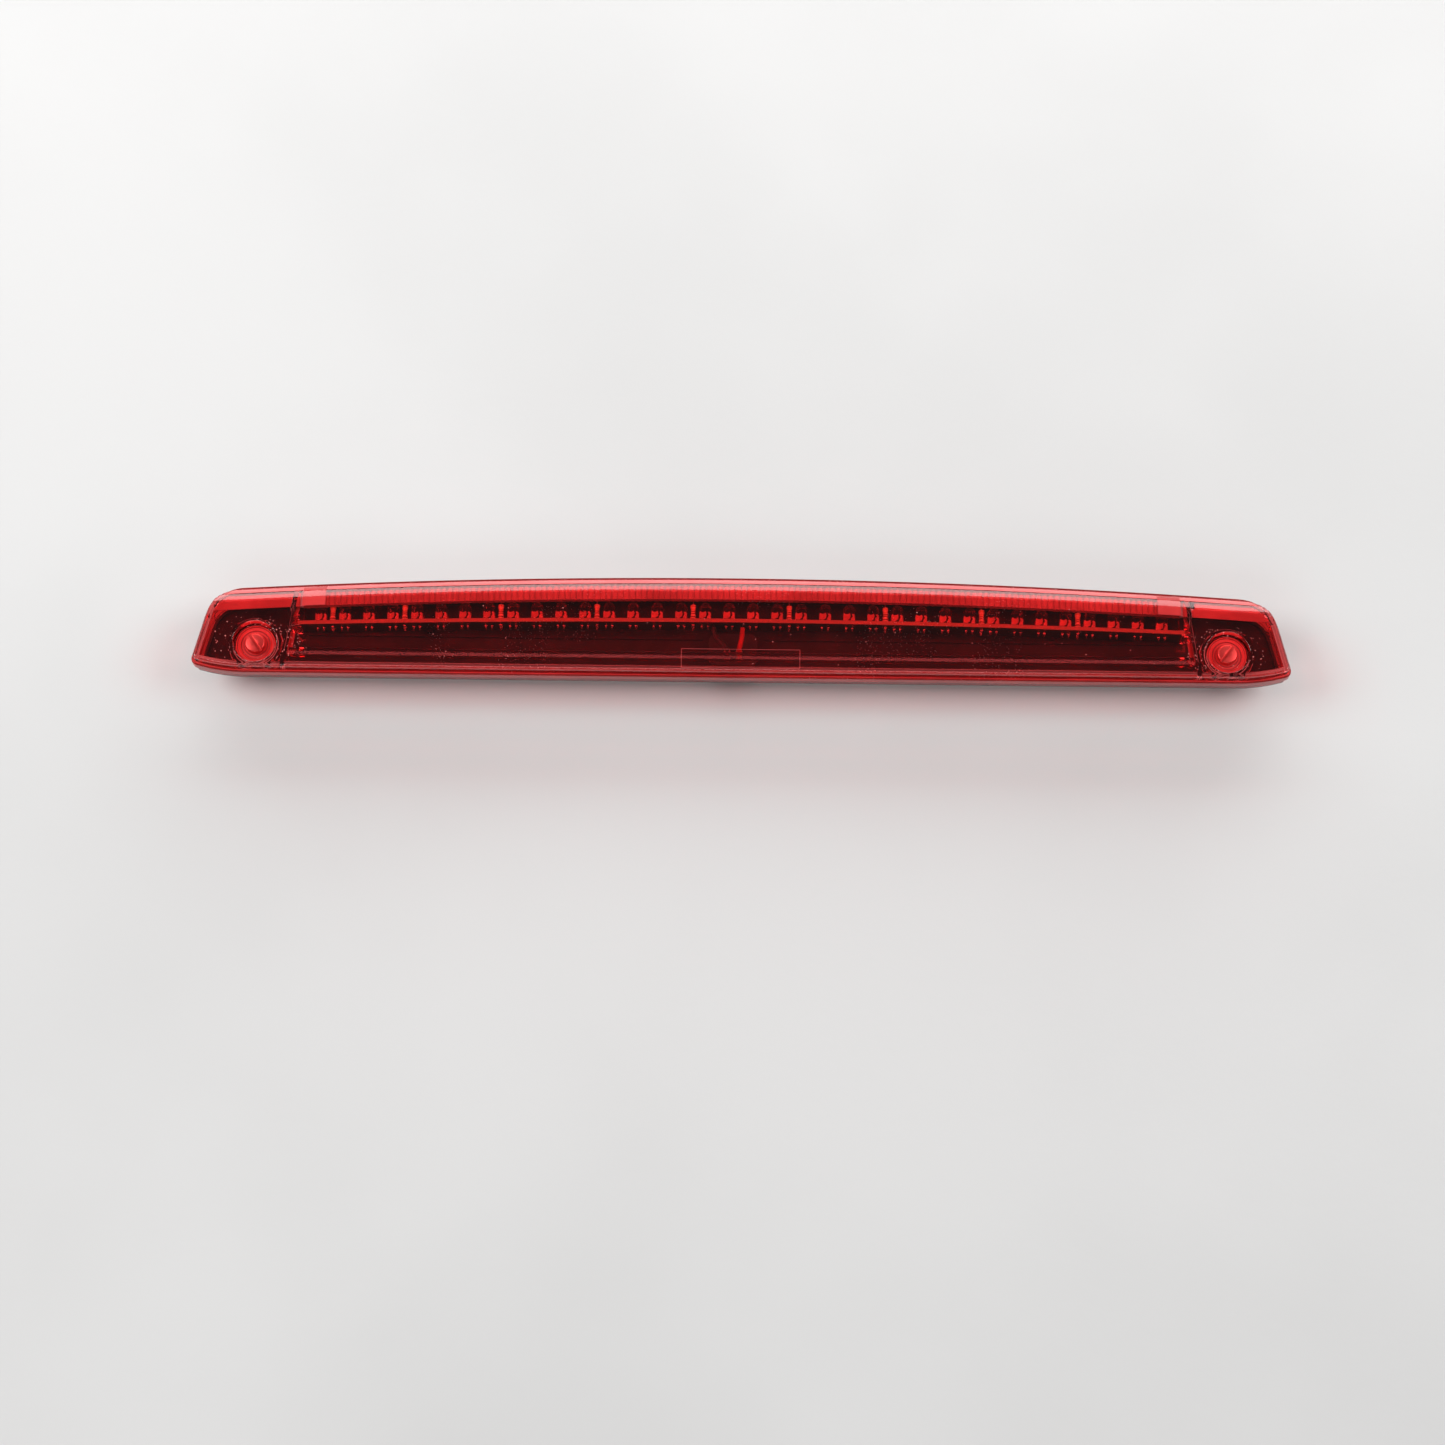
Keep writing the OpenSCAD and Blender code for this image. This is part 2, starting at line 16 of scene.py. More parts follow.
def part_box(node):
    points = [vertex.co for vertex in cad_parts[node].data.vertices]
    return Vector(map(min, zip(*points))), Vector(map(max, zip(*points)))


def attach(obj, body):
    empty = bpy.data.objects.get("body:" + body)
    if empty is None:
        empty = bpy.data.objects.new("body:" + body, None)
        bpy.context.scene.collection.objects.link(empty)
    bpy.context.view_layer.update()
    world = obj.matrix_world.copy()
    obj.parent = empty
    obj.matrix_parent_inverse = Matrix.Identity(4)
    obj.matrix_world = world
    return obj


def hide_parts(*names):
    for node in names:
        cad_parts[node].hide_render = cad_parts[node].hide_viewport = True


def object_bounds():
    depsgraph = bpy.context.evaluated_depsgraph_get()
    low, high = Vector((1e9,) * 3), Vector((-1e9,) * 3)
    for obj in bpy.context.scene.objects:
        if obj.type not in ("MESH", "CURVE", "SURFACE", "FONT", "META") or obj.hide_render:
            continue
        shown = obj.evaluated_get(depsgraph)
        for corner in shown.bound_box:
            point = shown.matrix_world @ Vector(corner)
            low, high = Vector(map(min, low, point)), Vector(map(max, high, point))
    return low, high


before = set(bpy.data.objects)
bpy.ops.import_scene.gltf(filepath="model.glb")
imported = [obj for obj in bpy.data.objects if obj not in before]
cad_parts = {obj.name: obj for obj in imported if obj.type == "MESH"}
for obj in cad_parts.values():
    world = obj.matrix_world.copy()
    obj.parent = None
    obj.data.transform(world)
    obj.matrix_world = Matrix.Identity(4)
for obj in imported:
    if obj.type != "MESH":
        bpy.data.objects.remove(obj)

CAD_BOX = [list(corner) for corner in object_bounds()]
MM = 0.001
scene = bpy.context.scene
scene.view_settings.view_transform = "Standard"
LAMP = "lamp"
print("CAD box, mm:", [[round(v / MM, 1) for v in corner] for corner in CAD_BOX])

# %% [markdown]
# ## The camera
# The lamp is looked at from in front and well above, with a long lens, so the top of the lens faces us and
# its front edge is foreshortened. A camera could be turned by Euler angles, but three perpendicular axes are
# easier to check: right, up and back. A small roll is added by mixing right and up.

# %% Camera
VIEW_ELEVATION, VIEW_AZIMUTH, ROLL = radians(71.6), radians(1.36), radians(-0.61)
DISTANCE, FRAME_WIDTH = 1.462, 0.604
AIM_ACROSS, AIM_UP = -7.6 * MM, -26.5 * MM


def aim_camera():
    level = Vector((cos(VIEW_AZIMUTH), sin(VIEW_AZIMUTH), 0))
    flat = cos(VIEW_ELEVATION)
    back = Vector((sin(VIEW_AZIMUTH) * flat, -cos(VIEW_AZIMUTH) * flat, sin(VIEW_ELEVATION)))
    upright = back.cross(level)
    right = level * cos(ROLL) + upright * sin(ROLL)
    up = upright * cos(ROLL) - level * sin(ROLL)
    data = bpy.data.cameras.new("camera")
    data.lens = data.sensor_width * DISTANCE / FRAME_WIDTH
    data.clip_start, data.clip_end = 0.05, 20
    camera = bpy.data.objects.new("camera", data)
    place = right * AIM_ACROSS + up * AIM_UP + back * DISTANCE
    camera.matrix_world = Matrix.Translation(place) @ Matrix((right, up, back)).transposed().to_4x4()
    scene.collection.objects.link(camera)
    scene.camera = camera
    print("camera lens, mm:", round(data.lens, 1))


aim_camera()

# %% [markdown]
# ## Floor and light
# A clear lens shows what the light does more than what its own colour is. The rounded rear edge should catch
# one long bright band, so a low wide soft light stands behind the lamp. Two soft lights at the sides reach
# down between the circuit board and the rear wall, where a light from the front would leave the LEDs in the
# board's shadow. Nothing bright hangs where the flat top would mirror it. The floor is a plain pale sheet.

# %% Floor and lights
def add_floor(size=6.0):
    bm = bmesh.new()
    bmesh.ops.create_grid(bm, x_segments=1, y_segments=1, size=size / 2)
    bmesh.ops.translate(bm, verts=bm.verts, vec=(0, 0, CAD_BOX[0][2]))
    mesh = bpy.data.meshes.new("floor")
    bm.to_mesh(mesh)
    bm.free()
    floor_object = bpy.data.objects.new("floor", mesh)
    scene.collection.objects.link(floor_object)
    return floor_object


def add_light(name, place, width, height, power):
    """A rectangular soft light that looks at the middle of the lamp."""
    data = bpy.data.lights.new(name, "AREA")
    data.shape, data.size, data.size_y = "RECTANGLE", width, height
    data.energy = power
    lamp = bpy.data.objects.new(name, data)
    lamp.location = place
    lamp.rotation_euler = (-Vector(place)).to_track_quat("-Z", "Y").to_euler()
    scene.collection.objects.link(lamp)


floor_sheet = add_floor()
add_light("rear_soft", (0, 1.2, 0.5), 2.4, 0.7, 24)
add_light("front_soft", (-0.3, -1.45, 1.2), 1.3, 0.8, 8)
add_light("left_soft", (-1.35, 0.15, 1.45), 1.0, 1.0, 24)
add_light("right_soft", (1.35, 0.15, 1.45), 1.0, 1.0, 20)
world = bpy.data.worlds.new("studio")
world.use_nodes = True
world.node_tree.nodes["Background"].inputs["Color"].default_value = (0.9, 0.92, 0.95, 1)
world.node_tree.nodes["Background"].inputs["Strength"].default_value = 0.11
scene.world = world

# %% [markdown]
# ## Shader groups that several materials share
# Real surfaces differ in small ways from place to place. Three effects do most of that work here. "grain" is
# the fine texture of a moulded or rubber face, "scuffs" are the long fine scratches that wiping leaves, and
# "specks" are grains of dust. Each is one node group with its own inputs, so each material gets its own dose.

# %% Node groups
def new_group(name, inputs, outputs):
    tree = bpy.data.node_groups.new(name, "ShaderNodeTree")
    for label, value in inputs.items():
        socket = tree.interface.new_socket(name=label, in_out="INPUT", socket_type="NodeSocketFloat")
        socket.default_value = value
    for label in outputs:
        tree.interface.new_socket(name=label, in_out="OUTPUT", socket_type="NodeSocketFloat")
    return tree, tree.nodes.new("NodeGroupInput"), tree.nodes.new("NodeGroupOutput")


def math_node(tree, operation, first, second=None):
    node = tree.nodes.new("ShaderNodeMath")
    node.operation = operation
    for socket, value in zip(node.inputs, (first, second)):
        if isinstance(value, bpy.types.NodeSocket):
            tree.links.new(value, socket)
        elif value is not None:
            socket.default_value = value
    return node.outputs[0]


def object_coordinates(tree, stretch=(1, 1, 1)):
    coordinates = tree.nodes.new("ShaderNodeTexCoord")
    mapping = tree.nodes.new("ShaderNodeMapping")
    mapping.inputs["Scale"].default_value = stretch
    tree.links.new(coordinates.outputs["Object"], mapping.inputs["Vector"])
    return mapping.outputs["Vector"]


def noise(tree, vector, scale, detail=2.0):
    node = tree.nodes.new("ShaderNodeTexNoise")
    node.inputs["Detail"].default_value = detail
    tree.links.new(vector, node.inputs["Vector"])
    if isinstance(scale, bpy.types.NodeSocket):
        tree.links.new(scale, node.inputs["Scale"])
    else:
        node.inputs["Scale"].default_value = scale
    return node.outputs["Fac"]


def threshold(tree, value, low, high):
    node = tree.nodes.new("ShaderNodeMapRange")
    node.interpolation_type = "SMOOTHSTEP"
    node.inputs["From Min"].default_value = low
    node.inputs["From Max"].default_value = high
    tree.links.new(value, node.inputs["Value"])
    return node.outputs["Result"]


def build_grain():
    tree, given, result = new_group("grain", {"Scale": 2000, "Amount": 1}, ["Height"])
    fine = noise(tree, object_coordinates(tree), given.outputs["Scale"], 3)
    tree.links.new(math_node(tree, "MULTIPLY", fine, given.outputs["Amount"]), result.inputs["Height"])
    return tree


def build_scuffs():
    tree, given, result = new_group("scuffs", {"Amount": 1}, ["Mask"])
    along = noise(tree, object_coordinates(tree, (60, 2600, 2600)), 1, 1)
    askew = noise(tree, object_coordinates(tree, (1500, 240, 900)), 1, 1)
    patches = threshold(tree, noise(tree, object_coordinates(tree), 38, 2), 0.42, 0.68)
    lines = math_node(tree, "MAXIMUM", threshold(tree, along, 0.66, 0.72), threshold(tree, askew, 0.7, 0.75))
    worn = math_node(tree, "MULTIPLY", lines, patches)
    tree.links.new(math_node(tree, "MULTIPLY", worn, given.outputs["Amount"]), result.inputs["Mask"])
    return tree


def build_specks():
    tree, given, result = new_group("specks", {"Scale": 420, "Amount": 1}, ["Mask"])
    cells = tree.nodes.new("ShaderNodeTexVoronoi")
    tree.links.new(object_coordinates(tree), cells.inputs["Vector"])
    tree.links.new(given.outputs["Scale"], cells.inputs["Scale"])
    dots = math_node(tree, "LESS_THAN", cells.outputs["Distance"], 0.11)
    patches = threshold(tree, noise(tree, object_coordinates(tree), 30, 3), 0.5, 0.64)
    dusty = math_node(tree, "MULTIPLY", dots, patches)
    tree.links.new(math_node(tree, "MULTIPLY", dusty, given.outputs["Amount"]), result.inputs["Mask"])
    return tree


GRAIN, SCUFFS, SPECKS = build_grain(), build_scuffs(), build_specks()
print("node groups:", GRAIN.name, SCUFFS.name, SPECKS.name)

# %% [markdown]
# ## A material from those groups
# Every solid finish here is one Principled shader. Its colour drifts between two near tones with a slow
# noise, its roughness rises where it is scuffed, and a bump carries the grain. Only numbers differ between
# finishes, so one function makes them all.

# %% Finish helper
def use_group(tree, group, **values):
    node = tree.nodes.new("ShaderNodeGroup")
    node.node_tree = group
    for label, value in values.items():
        node.inputs[label].default_value = value
    return node


def mix_colour(tree, mask, first, second):
    node = tree.nodes.new("ShaderNodeMix")
    node.data_type = "RGBA"
    tree.links.new(mask, node.inputs["Factor"])
    for socket, value in ((node.inputs[6], first), (node.inputs[7], second)):
        if isinstance(value, bpy.types.NodeSocket):
            tree.links.new(value, socket)
        else:
            socket.default_value = (*value, 1)
    return node.outputs[2]


def add_bump(tree, shader, height, distance):
    bump = tree.nodes.new("ShaderNodeBump")
    bump.inputs["Distance"].default_value = distance
    bump.inputs["Strength"].default_value = 1
    tree.links.new(height, bump.inputs["Height"])
    tree.links.new(bump.outputs["Normal"], shader.inputs["Normal"])


def finish_nodes(name, tones, roughness, metallic=0.0, grain=(2000, 0.00001), scuff=0.2, dust=0.0, drift=90):
    """A new material, its node tree and its shader. grain is (scale, depth in metres)."""
    material = bpy.data.materials.new(name)
    material.use_nodes = True
    tree = material.node_tree
    shader = tree.nodes["Principled BSDF"]
    shader.inputs["Metallic"].default_value = metallic
    slow = threshold(tree, noise(tree, object_coordinates(tree), drift, 4), 0.35, 0.65)
    colour = mix_colour(tree, slow, *tones)
    scuffs = use_group(tree, SCUFFS, Amount=scuff)
    rough = math_node(tree, "ADD", scuffs.outputs["Mask"], roughness)
    if dust:
        specks = use_group(tree, SPECKS, Scale=700, Amount=dust)
        colour = mix_colour(tree, specks.outputs["Mask"], colour, (0.62, 0.58, 0.54))
    tree.links.new(colour, shader.inputs["Base Color"])
    tree.links.new(rough, shader.inputs["Roughness"])
    grain_node = use_group(tree, GRAIN, Scale=grain[0], Amount=1)
    add_bump(tree, shader, grain_node.outputs["Height"], grain[1])
    return material, tree, shader


def finish(*settings, **extras):
    return finish_nodes(*settings, **extras)[0]


# %% [markdown]
# ## Clear plastics
# The lens is cast red acrylic: it bends light at every face, and its colour deepens where light crosses more
# walls. One material could be transparent without bending, but then its thick edges would not glow. So it is
# real glass for the eye, and plain tinted transparency for the lamps' shadow rays, which lets the light in.

# %% Clear finishes
def clear_finish(name, tint, shadow_tint, index, roughness, scuff, dust, ripple):
    material = bpy.data.materials.new(name)
    material.use_nodes = True
    tree = material.node_tree
    shader = tree.nodes["Principled BSDF"]
    shader.inputs["Transmission Weight"].default_value = 1
    shader.inputs["IOR"].default_value = index
    slow = threshold(tree, noise(tree, object_coordinates(tree), 25, 2), 0.3, 0.7)
    colour = mix_colour(tree, slow, tint, tuple(min(1, 1.06 * c) for c in tint))
    specks = use_group(tree, SPECKS, Scale=950, Amount=dust)
    dusted = mix_colour(tree, specks.outputs["Mask"], colour, (1, 0.4, 0.36))
    tree.links.new(dusted, shader.inputs["Base Color"])
    scuffs = use_group(tree, SCUFFS, Amount=scuff)
    dust_rough = math_node(tree, "MULTIPLY", specks.outputs["Mask"], 0.5)
    worn = math_node(tree, "MAXIMUM", scuffs.outputs["Mask"], dust_rough)
    tree.links.new(math_node(tree, "ADD", worn, roughness), shader.inputs["Roughness"])
    waves = use_group(tree, GRAIN, Scale=ripple[0], Amount=1)
    add_bump(tree, shader, waves.outputs["Height"], ripple[1])
    let_light_in(tree, shader, shadow_tint)
    return material


def let_light_in(tree, shader, shadow_tint):
    path = tree.nodes.new("ShaderNodeLightPath")
    clear = tree.nodes.new("ShaderNodeBsdfTransparent")
    clear.inputs["Color"].default_value = (*shadow_tint, 1)
    mix = tree.nodes.new("ShaderNodeMixShader")
    tree.links.new(path.outputs["Is Shadow Ray"], mix.inputs[0])
    tree.links.new(shader.outputs["BSDF"], mix.inputs[1])
    tree.links.new(clear.outputs["BSDF"], mix.inputs[2])
    tree.links.new(mix.outputs["Shader"], tree.nodes["Material Output"].inputs["Surface"])


red_acrylic = clear_finish("red_acrylic", (0.82, 0.11, 0.11), (0.91, 0.48, 0.48), index=1.49,
                           roughness=0.015, scuff=0.1, dust=0.8, ripple=(70, 0.000008))
led_epoxy = clear_finish("led_epoxy", (0.95, 0.42, 0.36), (0.97, 0.6, 0.55), index=1.54,
                         roughness=0.03, scuff=0.05, dust=0.0, ripple=(900, 0.00001))
print("clear finishes:", red_acrylic.name, led_epoxy.name)

# %% [markdown]
# ## Solid finishes
# The base is glossy black plastic that mirrors the solder dots above it. The board's faces are dark under
# their solder mask, and its sawn edge is pale fibre. The screws and washers are lacquered steel, and the
# sloping walls of the washers' grooves are painted darker as shade.

# %% Solid finishes
black_plastic = finish("black_plastic", ((0.03, 0.027, 0.027), (0.042, 0.037, 0.037)), 0.09,
                       scuff=0.25, dust=0.2)
satin_red = finish("satin_red", ((0.3, 0.22, 0.22), (0.37, 0.29, 0.29)), 0.3,
                   grain=(700, 0.00003), scuff=0.1, drift=60)
deep_satin = finish("deep_satin", ((0.36, 0.11, 0.11), (0.44, 0.15, 0.15)), 0.34,
                    grain=(700, 0.00003), drift=60)
pale_core = finish("pale_core", ((0.62, 0.58, 0.58), (0.72, 0.68, 0.68)), 0.35,
                   grain=(500, 0.00003), drift=45)
lead_frame_silver = finish("lead_frame_silver", ((0.6, 0.56, 0.54), (0.72, 0.68, 0.66)), 0.42,
                           metallic=0.25)
black_foam = finish("black_foam", ((0.02, 0.02, 0.021), (0.04, 0.04, 0.042)), 0.9,
                    grain=(1500, 0.0003), drift=900)
black_sealant = finish("black_sealant", ((0.02, 0.02, 0.02), (0.035, 0.033, 0.033)), 0.45,
                       grain=(500, 0.0001))
seal_rubber = finish("seal_rubber", ((0.022, 0.02, 0.02), (0.035, 0.032, 0.032)), 0.6,
                     grain=(1800, 0.00005))
orange_silicone = finish("orange_silicone", ((0.55, 0.17, 0.06), (0.62, 0.22, 0.09)), 0.55,
                         grain=(900, 0.00003))
tinned_metal = finish("tinned_metal", ((0.72, 0.71, 0.69), (0.86, 0.85, 0.83)), 0.24,
                      metallic=1.0, grain=(2500, 0.00001), scuff=0.15)
bright_solder = finish("bright_solder", ((0.78, 0.78, 0.77), (0.95, 0.95, 0.94)), 0.16,
                       metallic=1.0, grain=(1800, 0.00002), scuff=0.1)
tinned_brass = finish("tinned_brass", ((0.72, 0.6, 0.38), (0.8, 0.7, 0.5)), 0.3, metallic=1.0)
zinc_steel = finish("zinc_steel", ((0.55, 0.55, 0.53), (0.68, 0.67, 0.63)), 0.33,
                    metallic=1.0, grain=(2200, 0.00001), scuff=0.3)
lacquered_steel = finish("lacquered_steel", ((0.5, 0.016, 0.016), (0.62, 0.03, 0.03)), 0.36,
                         metallic=0.25, grain=(1600, 0.00001), scuff=0.25, dust=0.2)
lacquered_head = finish("lacquered_head", ((0.6, 0.03, 0.028), (0.7, 0.05, 0.045)), 0.4,
                        metallic=0.85, grain=(1600, 0.00001), scuff=0.3, dust=0.15)
# A darker red that is painted shade, laid on the sloping walls of the washers' grooves.
lacquer_groove = finish("lacquer_groove", ((0.2, 0.01, 0.01), (0.28, 0.015, 0.015)), 0.4, metallic=0.2)
nylon_black = finish("nylon_black", ((0.02, 0.02, 0.022), (0.032, 0.032, 0.034)), 0.48,
                     grain=(2600, 0.00004))
marking_ink = finish("marking_ink", ((0.42, 0.05, 0.05), (0.52, 0.08, 0.08)), 0.5, grain=(1200, 0.00001))
vent_felt = finish("vent_felt", ((0.72, 0.72, 0.7), (0.85, 0.85, 0.83)), 0.85, grain=(3500, 0.0001))
red_pvc = finish("red_pvc", ((0.3, 0.02, 0.015), (0.37, 0.03, 0.025)), 0.38, grain=(800, 0.00003))
black_pvc = finish("black_pvc", ((0.015, 0.015, 0.015), (0.028, 0.028, 0.028)), 0.4, grain=(800, 0.00003))
resistor_coat = finish("resistor_coat", ((0.66, 0.5, 0.32), (0.74, 0.58, 0.4)), 0.35,
                       grain=(1200, 0.00003), drift=600)
band_brown = finish("band_brown", ((0.16, 0.06, 0.02), (0.2, 0.08, 0.03)), 0.35)
band_gold = finish("band_gold", ((0.6, 0.4, 0.1), (0.7, 0.5, 0.16)), 0.3, metallic=0.6)
dust_grit = finish("dust_grit", ((0.55, 0.07, 0.07), (0.8, 0.24, 0.22)), 0.8,
                   grain=(3000, 0.00005), drift=700)
pale_floor = finish("pale_floor", ((0.56, 0.555, 0.55), (0.6, 0.595, 0.59)), 0.55,
                    grain=(180, 0.00005), drift=3)
floor_sheet.data.materials.append(pale_floor)


def board_finish():
    material, tree, shader = finish_nodes("board_laminate", ((0.012, 0.03, 0.016), (0.02, 0.045, 0.024)), 0.3)
    masked = shader.inputs["Base Color"].links[0].from_socket
    geometry = tree.nodes.new("ShaderNodeNewGeometry")
    split = tree.nodes.new("ShaderNodeSeparateXYZ")
    tree.links.new(geometry.outputs["Normal"], split.inputs["Vector"])
    sawn = threshold(tree, math_node(tree, "ABSOLUTE", split.outputs["Z"]), 0.5, 0.8)
    strands = noise(tree, object_coordinates(tree, (1, 6, 6)), 900, 3)
    fibre = mix_colour(tree, strands, (0.25, 0.2, 0.13), (0.36, 0.3, 0.21))
    tree.links.new(mix_colour(tree, sawn, masked, fibre), shader.inputs["Base Color"])
    return material


board_laminate = board_finish()
print("materials:", len(bpy.data.materials))

# %% [markdown]
# ## Helpers that turn a bmesh into a piece
# A piece rides on a body, takes the finishes it is given, and may stand for a CAD node. Its shading is smooth,
# with sharp edges only where two faces meet at a clear angle.

# %% Piece helpers
def finished_piece(name, bm, materials, nodes=(), body=LAMP, sharp=35):
    mesh = bpy.data.meshes.new(name)
    bm.to_mesh(mesh)
    bm.free()
    for material in materials:
        mesh.materials.append(material)
    mesh.shade_smooth()
    mesh.set_sharp_from_angle(angle=radians(sharp))
    piece = bpy.data.objects.new(name, mesh)
    scene.collection.objects.link(piece)
    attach(piece, body)
    if nodes:
        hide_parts(*nodes)
    print(name, "faces:", len(mesh.polygons))
    return piece


def merged_copy(node):
    bm = bmesh.new()
    bm.from_mesh(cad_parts[node].data)
    bmesh.ops.remove_doubles(bm, verts=bm.verts, dist=0.002 * MM)
    return bm


def islands(node):
    """The boxes of a node's separate solids, as (lowest corner, highest corner), from left to right."""
    bm = merged_copy(node)
    unseen, boxes = set(bm.verts), []
    while unseen:
        reached, edge = set(), [unseen.pop()]
        while edge:
            vert = edge.pop()
            reached.add(vert)
            near = {e.other_vert(vert) for e in vert.link_edges} & unseen
            unseen -= near
            edge.extend(near)
        corners = [[f(v.co[k] for v in reached) for k in range(3)] for f in (min, max)]
        boxes.append((Vector(corners[0]), Vector(corners[1])))
    bm.free()
    return sorted(boxes, key=lambda box: box[0].x + box[1].x)


def spun(profile, steps, axis=(0, 0, 1)):
    """A closed solid of revolution. The profile runs from the axis back to it as (radius, height)."""
    bm = bmesh.new()
    verts = [bm.verts.new((r, 0, h)) for r, h in profile]
    edges = [bm.edges.new(pair) for pair in zip(verts, verts[1:])]
    if profile[0][0] > 0:
        edges.append(bm.edges.new((verts[-1], verts[0])))
    bmesh.ops.spin(bm, geom=verts + edges, cent=(0, 0, 0), axis=(0, 0, 1), angle=2 * pi, steps=steps,
                   use_merge=True)
    bmesh.ops.remove_doubles(bm, verts=bm.verts, dist=0.0005 * MM)
    bmesh.ops.recalc_face_normals(bm, faces=bm.faces)
    if axis != (0, 0, 1):
        turn = Vector((0, 0, 1)).rotation_difference(Vector(axis)).to_matrix()
        bmesh.ops.rotate(bm, verts=bm.verts, cent=(0, 0, 0), matrix=turn)
    return bm


def add_copy(target, source, place, turn=0.0):
    """Adds source's mesh to target, turned about Z and moved to its place."""
    mesh = bpy.data.meshes.new("copied")
    source.to_mesh(mesh)
    first = len(target.verts)
    target.from_mesh(mesh)
    bpy.data.meshes.remove(mesh)
    target.verts.ensure_lookup_table()
    fresh = target.verts[first:]
    bmesh.ops.transform(target, matrix=Matrix.Translation(place) @ Matrix.Rotation(turn, 4, "Z"), verts=fresh)


# %% [markdown]
# ## The lens
# The lens's outline, wells and inner walls are already exact, so a merged copy of the solid is the starting
# mesh. A moulded edge is never razor sharp, so the rims of the screw wells are bevelled to catch light.

# %% Lens
LENS_LOW, LENS_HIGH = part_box("outer_lens")
SCREWS = {side: (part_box(side + "_screw")[0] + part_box(side + "_screw")[1]) / 2 for side in ("left", "right")}
WELL_RADIUS = 9 * MM


def on_rim(vert):
    if abs(vert.co.z - LENS_HIGH.z) > 0.01 * MM:
        return False
    distances = [hypot(vert.co.x - screw.x, vert.co.y - screw.y) for screw in SCREWS.values()]
    return any(abs(distance - WELL_RADIUS) < 0.05 * MM for distance in distances)


def make_lens():
    bm = merged_copy("outer_lens")
    bmesh.ops.dissolve_limit(bm, angle_limit=radians(0.05), verts=bm.verts, edges=bm.edges)
    rims = [e for e in bm.edges if all(on_rim(v) for v in e.verts)]
    bmesh.ops.bevel(bm, geom=rims, offset=0.4 * MM, offset_type="OFFSET", affect="EDGES", segments=3,
                    profile=0.5, material=-1, clamp_overlap=True)
    lens = finished_piece("red_lens", bm, [red_acrylic], ["outer_lens"], sharp=38)
    weighted = lens.modifiers.new("weighted", "WEIGHTED_NORMAL")
    weighted.keep_sharp = True
    print("rim edges bevelled:", len(rims))


make_lens()

# %% [markdown]
# ## Rear flutes
# Inside the rear shoulder of such a lens stand round flutes side by side. They spread each LED's beam
# sideways, and seen from above they make the shoulder a bright red band. One flute is a rod that stands at
# the rear wall and bends forward under the shoulder: a cylinder, and a circle spun a quarter turn and
# stretched. It is copied along the bow of the wall. A wavy sheet would look alike but would be one open
# surface, where a moulding has a solid rib.

# %% Rear flutes
FLUTE_PITCH = 2.45 * MM
FLUTE_RADIUS = 1.55 * MM
REAR_BOW_RADIUS = 3.2
SHOULDER_Y, SHOULDER_Z = LENS_HIGH.y - 10.8 * MM, LENS_HIGH.z - 7.5 * MM
SHOULDER_DEEP, SHOULDER_HIGH = 8.2 * MM, 5.25 * MM
LEDS = islands("led_bodies")


def bow_through(spots):
    """A parabola y(x) through three (x, y) places."""
    def place(x):
        total = 0
        for xk, yk in spots:
            weight = 1
            for xj, _ in spots:
                if xj != xk:
                    weight *= (x - xj) / (xk - xj)
            total += weight * yk
        return total
    return place


BOARD_FACE = bow_through([((low.x + high.x) / 2, low.y) for low, high in (LEDS[0], LEDS[18], LEDS[-1])])
print("LEDs found:", len(LEDS), "first and last x:", round(LEDS[0][0].x, 4), round(LEDS[-1][1].x, 4))


def shoulder_front(x):
    """Where the shoulder starts on the lens top, behind the origin, at a place x along the lamp."""
    return SHOULDER_Y - x * x / (2 * REAR_BOW_RADIUS)


def make_flutes():
    rib = bmesh.new()
    ring = SHOULDER_HIGH - FLUTE_RADIUS
    bmesh.ops.create_circle(rib, cap_ends=False, segments=8, radius=FLUTE_RADIUS)
    bmesh.ops.rotate(rib, verts=rib.verts, cent=(0, 0, 0), matrix=Matrix.Rotation(pi / 2, 3, "X"))
    bmesh.ops.translate(rib, verts=rib.verts, vec=(0, 0, ring))
    bmesh.ops.spin(rib, geom=rib.verts[:] + rib.edges[:], cent=(0, 0, 0), axis=(-1, 0, 0),
                   angle=pi / 2, steps=6)
    bmesh.ops.scale(rib, vec=(1, SHOULDER_DEEP / SHOULDER_HIGH, 1), verts=rib.verts)
    bmesh.ops.holes_fill(rib, edges=[e for e in rib.edges if e.is_boundary], sides=12)
    bmesh.ops.recalc_face_normals(rib, faces=rib.faces)
    wall = bmesh.new()
    drop = SHOULDER_Z - LENS_LOW.z - 4.9 * MM
    bmesh.ops.create_cone(wall, cap_ends=True, segments=10, radius1=FLUTE_RADIUS, radius2=FLUTE_RADIUS,
                          depth=drop)
    add_copy(rib, wall, (0, SHOULDER_DEEP - FLUTE_RADIUS, -drop / 2))
    wall.free()
    count = int((LEDS[-1][1].x - LEDS[0][0].x + 12 * MM) / FLUTE_PITCH)
    bm = bmesh.new()
    for k in range(count):
        x = (k - (count - 1) / 2) * FLUTE_PITCH
        add_copy(bm, rib, (x, shoulder_front(x), SHOULDER_Z), -x / REAR_BOW_RADIUS)
    rib.free()
    finished_piece("rear_flutes", bm, [satin_red], sharp=60)


make_flutes()

# %% [markdown]
# ## Layers that follow the lens
# Outside the LED chamber the shoulder has a plain satin layer, the flange round the lens's front is frosted
# inside, and the rear wall has a paler core. All follow faces that the lens already has. So those faces are
# copied, moved off the surface along their normals and given a thickness, which is how a paint mask or a
# film would be laid.

# %% Satin layers
CHAMBER_HALF = LEDS[-1][1].x + 3.3 * MM
BOARD_END = (CHAMBER_HALF - 8 * MM, CHAMBER_HALF + 1.5 * MM)
FLANGE = (LENS_LOW.z + 6.1 * MM, LENS_LOW.z + 9.9 * MM)
CORE_BOTTOM = LENS_LOW.z + 6.5 * MM


